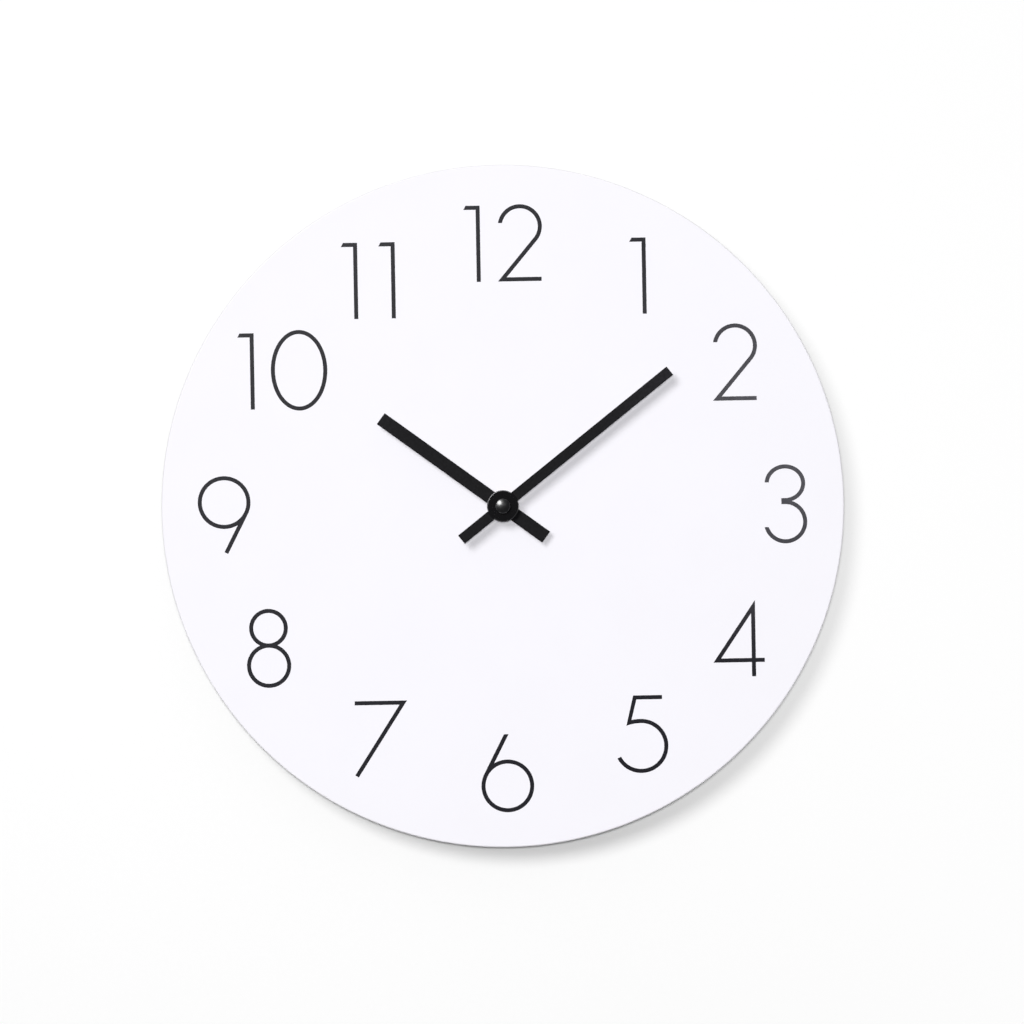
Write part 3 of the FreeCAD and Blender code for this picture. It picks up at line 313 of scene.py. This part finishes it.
def makeDarkRoom(look):              # what the gloss sees in front of the dial; nothing else sees it
    bm = bmesh.new()
    bmesh.ops.create_uvsphere(bm, u_segments=32, v_segments=16, radius=look["radius"])
    edge = Vector((0, -look["open"] * look["radius"], 0))
    bmesh.ops.bisect_plane(bm, geom=bm.verts[:] + bm.edges[:] + bm.faces[:], plane_co=edge,
                           plane_no=(0, 1, 0), clear_outer=True)
    bmesh.ops.reverse_faces(bm, faces=bm.faces[:])
    room = addPiece(bm, "darkRoom", stagePaint("darkRoomCloth", look))
    hideFrom(room, ("camera", "diffuse", "transmission", "shadow", "volume_scatter"))


floorAt = (0, cadBox[1].y - floorLook["across"] / 2, cadBox[0].z - floorLook["drop"])
makeSheet("wall", wallLook, stoodAt(cadBox[1].y + wallLook["gap"]))
makeSheet("floor", floorLook, Matrix.Translation(floorAt))
makeDarkRoom(darkLook)
print("wall, floor and dark room placed")


# a pattern returns what it feeds the shader, and the height for its bumps;
# "centre", "turn" in degrees and "stretch" in a look place the pattern on the piece
def makeFinish(name, look, pattern):
    material, tree = newMaterial(name)
    place = addNode(tree, "ShaderNodeTexCoord").outputs["Object"]
    centred = addNode(tree, "ShaderNodeMapping", {
        "Vector": place, "Location": [-part for part in look.get("centre", (0, 0, 0))]})
    turned = addNode(tree, "ShaderNodeMapping", {
        "Vector": centred.outputs["Vector"], "Scale": look.get("stretch", (1, 1, 1)),
        "Rotation": [math.radians(part) for part in look.get("turn", (0, 0, 0))]})
    painted, height = pattern(tree, turned.outputs["Vector"], look)
    bump = addNode(tree, "ShaderNodeBump", {"Strength": 1.0, "Distance": look["height"], "Height": height})
    shader = addNode(tree, "ShaderNodeBsdfPrincipled", {
        "Metallic": look.get("metallic", 0.0), "Specular IOR Level": look.get("specular", 0.5),
        "Coat Weight": look.get("coat", 0.0), "Coat Roughness": look.get("coatRoughness", 0.1),
        **painted, "Normal": bump.outputs["Normal"]})
    addNode(tree, "ShaderNodeOutputMaterial", {"Surface": shader.outputs[0]})
    return material


def fineGrain(tree, vector, look):
    return noise(tree, vector, look["grain"], 4.0, 0.6)


# plain finishes: "tone" is how far the colour drifts, over "blotch", and "height" how deep the "grain" goes
plainLooks = {
    "white_board": {
        "colour": (0.888, 0.876, 0.915), "tone": 0.012, "rough": (0.38, 0.50),
        "blotch": 14 * mm, "grain": 1.6 * mm, "height": 0.012 * mm},
    "white_film": {
        "colour": (0.892, 0.880, 0.930), "tone": 0.004, "rough": (0.62, 0.74), "specular": 0.35,
        "blotch": 30 * mm, "grain": 0.7 * mm, "height": 0.002 * mm},
    "nut_black": {
        "colour": (0.008, 0.008, 0.009), "tone": 0.1, "rough": (0.30, 0.33), "specular": 1.0,
        "coat": 1.0, "coatRoughness": 0.16, "blotch": 1.5 * mm, "grain": 0.4 * mm, "height": 0.0006 * mm},
    "rubber": {
        "colour": (0.020, 0.020, 0.020), "tone": 0.15, "rough": (0.75, 0.88), "specular": 0.3,
        "blotch": 2 * mm, "grain": 0.3 * mm, "height": 0.02 * mm},
    "case_black": {
        "colour": (0.022, 0.022, 0.023), "tone": 0.1, "rough": (0.45, 0.62), "specular": 0.4,
        "blotch": 6 * mm, "grain": 0.4 * mm, "height": 0.03 * mm},
    "plate_grey": {
        "colour": (0.30, 0.30, 0.31), "tone": 0.04, "rough": (0.42, 0.55),
        "blotch": 6 * mm, "grain": 0.35 * mm, "height": 0.015 * mm},
    "wheel_white": {
        "colour": (0.80, 0.78, 0.71), "tone": 0.03, "rough": (0.28, 0.38),
        "blotch": 4 * mm, "grain": 0.6 * mm, "height": 0.004 * mm},
    "wheel_amber": {
        "colour": (0.72, 0.47, 0.16), "tone": 0.05, "rough": (0.28, 0.38),
        "blotch": 4 * mm, "grain": 0.6 * mm, "height": 0.004 * mm},
    "arbor_white": {
        "colour": (0.74, 0.74, 0.70), "tone": 0.03, "rough": (0.30, 0.40),
        "blotch": 3 * mm, "grain": 0.5 * mm, "height": 0.004 * mm},
    "magnet": {
        "colour": (0.065, 0.065, 0.070), "tone": 0.25, "rough": (0.45, 0.65), "metallic": 0.4,
        "blotch": 0.8 * mm, "grain": 0.15 * mm, "height": 0.02 * mm},
    "bobbin_black": {
        "colour": (0.035, 0.035, 0.035), "tone": 0.1, "rough": (0.40, 0.50),
        "blotch": 3 * mm, "grain": 0.3 * mm, "height": 0.01 * mm},
    "crystal_can": {
        "colour": (0.72, 0.72, 0.74), "tone": 0.04, "rough": (0.12, 0.24), "metallic": 1.0,
        "blotch": 1.5 * mm, "grain": 0.3 * mm, "height": 0.004 * mm},
    "resin_black": {
        "colour": (0.012, 0.012, 0.013), "tone": 0.15, "rough": (0.16, 0.26),
        "blotch": 1.2 * mm, "grain": 0.8 * mm, "height": 0.02 * mm},
    "cell_can": {
        "colour": (0.66, 0.66, 0.67), "tone": 0.04, "rough": (0.20, 0.34), "metallic": 1.0,
        "blotch": 2.5 * mm, "grain": 0.25 * mm, "height": 0.004 * mm},
    "plated_steel": {
        "colour": (0.60, 0.61, 0.63), "tone": 0.10, "rough": (0.26, 0.44), "metallic": 1.0,
        "stretch": (1, 1, 0.25), "blotch": 3.5 * mm, "grain": 0.5 * mm, "height": 0.006 * mm},
    "core_steel": {
        "colour": (0.44, 0.45, 0.48), "tone": 0.10, "rough": (0.32, 0.48), "metallic": 1.0,
        "stretch": (0.2, 1, 1), "blotch": 2.0 * mm, "grain": 0.4 * mm, "height": 0.008 * mm},
    "contact_nickel": {
        "colour": (0.68, 0.66, 0.62), "tone": 0.07, "rough": (0.18, 0.34), "metallic": 1.0,
        "stretch": (1, 1, 0.2), "blotch": 2.5 * mm, "grain": 0.4 * mm, "height": 0.005 * mm},
}


def plainPattern(tree, vector, look):
    blotch = noise(tree, vector, look["blotch"])
    grain = fineGrain(tree, vector, look)
    colour = mottled(tree, blotch, look["colour"], look["tone"])
    return {"Base Color": colour, "Roughness": spread(tree, grain, look["rough"])}, grain


# turned, drawn or wound finishes: fine lines at "period", which "wander" bends
turnedLooks = {
    "brass": {
        "colour": (0.74, 0.55, 0.25), "tone": 0.10, "rough": (0.22, 0.36), "metallic": 1.0,
        "kind": "RINGS", "period": 0.22 * mm, "wander": 0.6, "blotch": 2 * mm, "height": 0.006 * mm},
    "knob_grey": {
        "colour": (0.46, 0.46, 0.47), "tone": 0.05, "rough": (0.40, 0.52),
        "kind": "RINGS", "period": 0.5 * mm, "wander": 0.6, "blotch": 2 * mm, "height": 0.010 * mm},
    "screw_steel": {
        "colour": (0.55, 0.56, 0.58), "tone": 0.10, "rough": (0.24, 0.36), "metallic": 1.0,
        "kind": "BANDS", "period": 0.15 * mm, "wander": 0.6, "blotch": 1 * mm, "height": 0.006 * mm},
    "copper": {
        "colour": (0.62, 0.25, 0.11), "tone": 0.30, "rough": (0.26, 0.36), "metallic": 0.85,
        "kind": "BANDS", "period": 0.12 * mm, "wander": 0.25, "blotch": 1 * mm, "height": 0.05 * mm},
}
wavePeriod = 0.314                    # of a wave texture at a scale of one
lineRange = (0.05, 0.6)               # where most of the lines' tone lies, once the blotches are in it


def turnedPattern(tree, vector, look):
    values = {"Vector": vector, "Scale": wavePeriod / look["period"],
              "Distortion": look["wander"], "Detail": 1.0}
    wave = addNode(tree, "ShaderNodeTexWave", values, wave_type=look["kind"], bands_direction="X",
                   rings_direction="Y").outputs["Fac"]
    blotch = noise(tree, vector, look["blotch"])
    lines = calculate(tree, "MULTIPLY", wave, blotch)
    colour = mottled(tree, lines, look["colour"], look["tone"], lineRange)
    return {"Base Color": colour, "Roughness": spread(tree, blotch, look["rough"])}, wave


# printing ink with a painted sheen, paler towards the two and the three: the sheen colour at "centre",
# plain ink past "reach"
inkLook = {
    "colour": (0.0068, 0.0066, 0.0112), "sheenInk": (0.081, 0.079, 0.091), "tone": 0.12, "rough": (0.30, 0.42),
    "centre": (130 * mm, 0, 32 * mm), "reach": 122 * mm,
    "blotch": 2.5 * mm, "grain": 0.5 * mm, "height": 0.004 * mm,
}


def inkPattern(tree, vector, look):
    # painted sheen: strongest at the look's centre, gone past "reach"
    sheenShare = spread(tree, lengthOf(tree, vector), (1.0, 0.0), (0.0, look["reach"]), "SMOOTHSTEP")
    blotch = noise(tree, vector, look["blotch"])
    full = mottled(tree, blotch, look["colour"], look["tone"])
    sheenInk = mottled(tree, blotch, look["sheenInk"], look["tone"])
    grain = fineGrain(tree, vector, look)
    # blend the painted sheen into the ink
    colour = blend(tree, sheenShare, full, sheenInk)
    return {"Base Color": colour, "Roughness": spread(tree, grain, look["rough"])}, grain


# powder coat on the bars, paler far out with a painted sheen; a smoother rolled hub, its rim bare metal
# mostly on the upper left, towards the key light, partly wear and partly placed for a painted glint
coatLook = {
    "colour": (0.0062, 0.0060, 0.0072), "tone": 0.25, "rough": (0.50, 0.66), "specular": 0.2,
    "blotch": 1.2 * mm, "grain": 0.5 * mm, "height": 0.04 * mm, "stretch": (1, 0, 1),
    # painted sheen on the bars, growing across the "far" distances
    "farSheenColour": (0.0135, 0.0128, 0.0155), "far": (52 * mm, 95 * mm),
    "hubColour": (0.0050, 0.0048, 0.0056), "hubTone": 0.1, "hubRough": 0.24,
    "hub": 7.2 * mm, "edge": 0.15 * mm,
    # bare metal on the hub's rim, partly wear and partly a painted glint, fullest towards the key light
    "bareGlintColour": (0.29, 0.29, 0.30), "bareGlintTone": 0.15, "bareGlintMetal": 0.75,
    "bareGlintFacing": (0.95, 0.998),      # from the rounded rim to the flat front
    "bareGlintTowards": (-0.77, 0.0, 0.64), "bareGlintRange": (-5 * mm, 4 * mm), "bareGlintLeast": 0.12,
}


def handPattern(tree, vector, look):
    place = addNode(tree, "ShaderNodeTexCoord").outputs
    distance = lengthOf(tree, vector)
    outside = spread(tree, distance, (0.0, 1.0), (look["hub"] - look["edge"], look["hub"] + look["edge"]))
    inside = spread(tree, outside, (1.0, 0.0), (0.0, 1.0))
    farSheenShare = spread(tree, distance, (0.0, 1.0), look["far"])
    blotch = noise(tree, place["Object"], look["blotch"])
    grain = fineGrain(tree, place["Object"], look)
    near = mottled(tree, blotch, look["colour"], look["tone"])
    # painted sheen: the bars grow paler far out from the axis
    bar = blend(tree, farSheenShare, near, mottled(tree, blotch, look["farSheenColour"], look["tone"]))
    coat = blend(tree, outside, mottled(tree, blotch, look["hubColour"], look["hubTone"]), bar)
    facing = calculate(tree, "ABSOLUTE", partOf(tree, place["Normal"], "Y"))
    rim = spread(tree, facing, (1.0, 0.0), look["bareGlintFacing"])
    # the bare rim is fullest on the side towards the key light, to paint a glint there
    across = reachAlong(tree, place["Object"], look["bareGlintTowards"])
    side = spread(tree, across, (look["bareGlintLeast"], 1.0), look["bareGlintRange"])
    glintWorn = calculate(tree, "MULTIPLY", calculate(tree, "MULTIPLY", rim, side), inside)
    glintBare = mottled(tree, blotch, look["bareGlintColour"], look["bareGlintTone"])
    rough = choose(tree, outside, look["hubRough"], spread(tree, grain, look["rough"]))
    painted = {"Base Color": blend(tree, glintWorn, coat, glintBare), "Roughness": rough,
               "Metallic": calculate(tree, "MULTIPLY", glintWorn, look["bareGlintMetal"])}
    return painted, calculate(tree, "MULTIPLY", grain, outside)


# lacquered circuit board, its tracks showing through
circuitLook = {
    "mask": (0.020, 0.150, 0.055), "maskTone": 1.15, "track": (0.060, 0.300, 0.110), "rough": (0.22, 0.32),
    "trackWidth": 0.18 * mm, "trackPitch": 1.1 * mm, "trackRun": 4.5 * mm, "trackSoft": 0.2,
    "cloud": 1.5 * mm, "height": 0.03 * mm, "turn": (-90, 0, 0),
}


def circuitPattern(tree, vector, look):
    tracks = addNode(tree, "ShaderNodeTexBrick", {
        "Vector": vector, "Scale": 1.0, "Color1": opaque(look["mask"]),
        "Color2": opaque(look["mask"], look["maskTone"]), "Mortar": opaque(look["track"]),
        "Mortar Size": look["trackWidth"], "Mortar Smooth": look["trackSoft"],
        "Brick Width": look["trackRun"], "Row Height": look["trackPitch"]}).outputs
    rough = spread(tree, noise(tree, vector, look["cloud"]), look["rough"])
    return {"Base Color": tracks["Color"], "Roughness": rough}, tracks["Fac"]


# printed sleeve of the cell: body, ring and end colour along its length
sleeveLook = {
    "body": (0.022, 0.075, 0.050), "ring": (0.62, 0.60, 0.56), "end": (0.40, 0.22, 0.08),
    "ringAt": 0.70, "endAt": 0.74, "rough": (0.20, 0.30), "coat": 0.3, "cloud": 3 * mm, "height": 0.01 * mm,
}


def sleevePattern(tree, vector, look):
    low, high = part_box("battery_sleeve")
    along = spread(tree, partOf(tree, vector, "X"), (0.0, 1.0), (low.x, high.x))
    stops = [(0.0, look["body"]), (look["ringAt"], look["ring"]), (look["endAt"], look["end"])]
    colour = ramp(tree, along, [(position, opaque(colour)) for position, colour in stops], "CONSTANT")
    cloud = noise(tree, vector, look["cloud"])
    return {"Base Color": colour, "Roughness": spread(tree, cloud, look["rough"])}, cloud


finishes = {slot: makeFinish(slot, look, plainPattern) for slot, look in plainLooks.items()}
finishes.update({slot: makeFinish(slot, look, turnedPattern) for slot, look in turnedLooks.items()})
finishes["ink_black"] = makeFinish("ink_black", inkLook, inkPattern)
finishes["circuit_green"] = makeFinish("circuit_green", circuitLook, circuitPattern)
finishes["cell_sleeve"] = makeFinish("cell_sleeve", sleeveLook, sleevePattern)
finishes["hand_black"] = makeFinish("hand_black", coatLook, handPattern)
for row in frame["record"]["subparts"]:
    for materialSlot in nodes[row["node"]].material_slots:
        materialSlot.material = finishes[row["material_slot"]]
print("finishes made:", len(finishes))

touching = 1e-7                       # vertices closer than this are one
sharpFrom = math.radians(35)          # edges that turn by less are shaded smooth
squareFrom = 1.0                      # radians: edges that turn by more are rounded off
flatFacing = 0.99999                  # faces this square to the front are flat right up to a rounded edge


def finishPiece(bm, name, matrix, slot, body, replaced):
    bmesh.ops.transform(bm, matrix=matrix, verts=bm.verts[:])
    piece = addPiece(bm, name, finishes[slot])
    piece.data.shade_smooth()
    piece.data.set_sharp_from_angle(angle=sharpFrom)
    for polygon in piece.data.polygons:
        polygon.use_smooth = abs(polygon.normal.y) < flatFacing
    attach(piece, body)
    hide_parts(replaced)


def drawOutline(bm, start, places, closed=False):     # from a first vertex through (radius, height) places
    corners = [start] + [bm.verts.new((radius, 0, height)) for radius, height in places]
    for pair in zip(corners, corners[1:] + (corners[:1] if closed else [])):
        bm.edges.new(pair)
    return corners


def spinRound(bm, steps):
    bmesh.ops.spin(bm, geom=bm.verts[:] + bm.edges[:], cent=(0, 0, 0), axis=(0, 0, 1), dvec=(0, 0, 0),
                   angle=math.tau, steps=steps, use_merge=True, use_normal_flip=False, use_duplicate=False)
    bmesh.ops.remove_doubles(bm, verts=bm.verts[:], dist=touching)
    bmesh.ops.recalc_face_normals(bm, faces=bm.faces[:])


def roundCorners(bm, corners, offset, segments):
    bmesh.ops.bevel(bm, geom=corners, offset=offset, offset_type="OFFSET", segments=segments, profile=0.5,
                    affect="VERTICES", material=-1)


def boreOf(node):
    return min(math.hypot(vertex.co.x, vertex.co.z) for vertex in nodes[node].data.vertices)


def onlyVerts(items):
    return [item for item in items if isinstance(item, bmesh.types.BMVert)]


# board and film: "edge" is the radius of the outer corners, front and back
discLooks = {
    "dialBoard": {
        "node": "dial_board", "slot": "white_board", "steps": 480, "edge": 0.45 * mm, "edgeSteps": 6},
    "dialFace": {
        "node": "dial_face_film", "slot": "white_film", "steps": 480, "edge": 0.05 * mm, "edgeSteps": 2},
}


def makeDisc(name, look):
    low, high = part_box(look["node"])
    radius, thickness, bore = high.z, high.y - low.y, boreOf(look["node"])
    bm = bmesh.new()
    places = [(radius, 0), (radius, thickness), (bore, thickness)]
    corners = drawOutline(bm, bm.verts.new((bore, 0, 0)), places, closed=True)
    roundCorners(bm, corners[1:3], look["edge"], look["edgeSteps"])
    spinRound(bm, look["steps"])
    finishPiece(bm, name, stoodAt(high.y), look["slot"], "clock_body", look["node"])


for discName, discLook in discLooks.items():
    makeDisc(discName, discLook)
print("dial made")

# "reach" and "tail" are measured from the axis, and "degrees" turns the hand clockwise from twelve
handLooks = {
    "hourHand": {
        "node": "hour_hand", "body": "hour_hand_group", "degrees": 306.6,
        "reach": 65.8 * mm, "tail": 23.3 * mm, "width": 5.9 * mm, "edge": 0.10 * mm, "edgeSteps": 2,
        "hub": 6.5 * mm, "steps": 128, "hubEdge": 0.40 * mm, "hubSteps": 6},
    "minuteHand": {
        "node": "minute_hand", "body": "minute_hand_group", "degrees": 51.95,
        "reach": 94.0 * mm, "tail": 23.3 * mm, "width": 4.62 * mm, "edge": 0.10 * mm, "edgeSteps": 2,
        "hub": 6.95 * mm, "steps": 128, "hubEdge": 0.40 * mm, "hubSteps": 6},
}


def makeHand(name, look):            # a ring with two bars drawn out of it, given its thickness and rounded
    low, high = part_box(look["node"])
    thickness, hub, half = high.y - low.y, look["hub"], look["width"] / 2
    bm = bmesh.new()
    bmesh.ops.create_circle(bm, cap_ends=False, radius=hub, segments=look["steps"])
    rim = bm.verts[:]
    bmesh.ops.create_circle(bm, cap_ends=False, radius=boreOf(look["node"]), segments=look["steps"])
    bmesh.ops.bridge_loops(bm, edges=bm.edges[:])

    def inRoot(vertex, side):          # on the hub's rim, where the bar of that side leaves it
        return vertex in rim and abs(vertex.co.x) < half + 10 * touching and vertex.co.y * side > 0

    for end in (look["reach"], -look["tail"]):
        side = math.copysign(1, end)
        shoulder = math.sqrt(hub ** 2 - half ** 2) * side
        for x in (-half, half):        # a rim vertex moves to where each side of the bar leaves the hub
            corner = min(rim, key=lambda vertex: (vertex.co - Vector((x, shoulder, 0))).length)
            corner.co = (x, shoulder, 0)
        root = [edge for edge in bm.edges if all(inRoot(vertex, side) for vertex in edge.verts)]
        for vertex in onlyVerts(bmesh.ops.extrude_edge_only(bm, edges=root)["geom"]):
            vertex.co.y = end
    bmesh.ops.recalc_face_normals(bm, faces=bm.faces[:])
    bmesh.ops.solidify(bm, geom=bm.faces[:], thickness=thickness)
    bottom = min(vertex.co.z for vertex in bm.verts)
    bmesh.ops.translate(bm, vec=(0, 0, -bottom), verts=bm.verts[:])
    bmesh.ops.recalc_face_normals(bm, faces=bm.faces[:])

    def crisp(near, far, frontOnly):   # square edges, level, with their middles between two distances
        chosen = []
        for edge in bm.edges:
            first, second = (vertex.co for vertex in edge.verts)
            level = abs(first.z - second.z) < touching
            between = near < ((first + second) / 2).xy.length < far
            inFront = first.z > thickness / 2
            if edge.calc_face_angle(0) > squareFrom and level and between and (inFront or not frontOnly):
                chosen.append(edge)
        return chosen

    # the hub's front rim, then the bars' edges, by their distances as shares of the hub's radius
    for near, far, frontOnly, offset, segments in ((0.98, 1.0001, True, look["hubEdge"], look["hubSteps"]),
                                                   (1.02, 100.0, False, look["edge"], look["edgeSteps"])):
        edges = crisp(hub * near, hub * far, frontOnly)
        bmesh.ops.bevel(bm, geom=edges, offset=offset, offset_type="OFFSET", segments=segments, profile=0.5,
                        affect="EDGES", material=-1, clamp_overlap=True)
    matrix = Matrix.Rotation(math.radians(look["degrees"]), 4, "Y") @ stoodAt(high.y)
    finishPiece(bm, name, matrix, "hand_black", look["body"], look["node"])


for handName, handLook in handLooks.items():
    makeHand(handName, handLook)
print("hands made")

# "dome" and "shoulder" are radii, of the low dome and of the corner below it
capLook = {
    "node": "cap_nut", "radius": 3.2 * mm, "height": 2.7 * mm, "bore": 1.4 * mm, "boreDepth": 1.65 * mm,
    "dome": 9.5 * mm, "domeSteps": 12, "shoulder": 0.48 * mm, "shoulderSteps": 8, "steps": 128,
}


def makeCap(look):
    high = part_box(look["node"])[1]
    bm = bmesh.new()
    top = bm.verts.new((0, 0, look["height"]))
    arc = bmesh.ops.spin(bm, geom=[top], cent=(0, 0, look["height"] - look["dome"]), axis=(0, 1, 0),
                         dvec=(0, 0, 0), angle=math.asin(look["radius"] / look["dome"]),
                         steps=look["domeSteps"], use_merge=False, use_normal_flip=False,
                         use_duplicate=False)
    rim = onlyVerts(arc["geom_last"])[0]
    radius, bore, depth = look["radius"], look["bore"], look["boreDepth"]
    drawOutline(bm, rim, [(radius, 0), (bore, 0), (bore, depth), (0, depth)])
    roundCorners(bm, [rim], look["shoulder"], look["shoulderSteps"])
    spinRound(bm, look["steps"])
    finishPiece(bm, "capNut", stoodAt(high.y), "nut_black", "minute_hand_group", look["node"])


makeCap(capLook)
print("cap nut made")
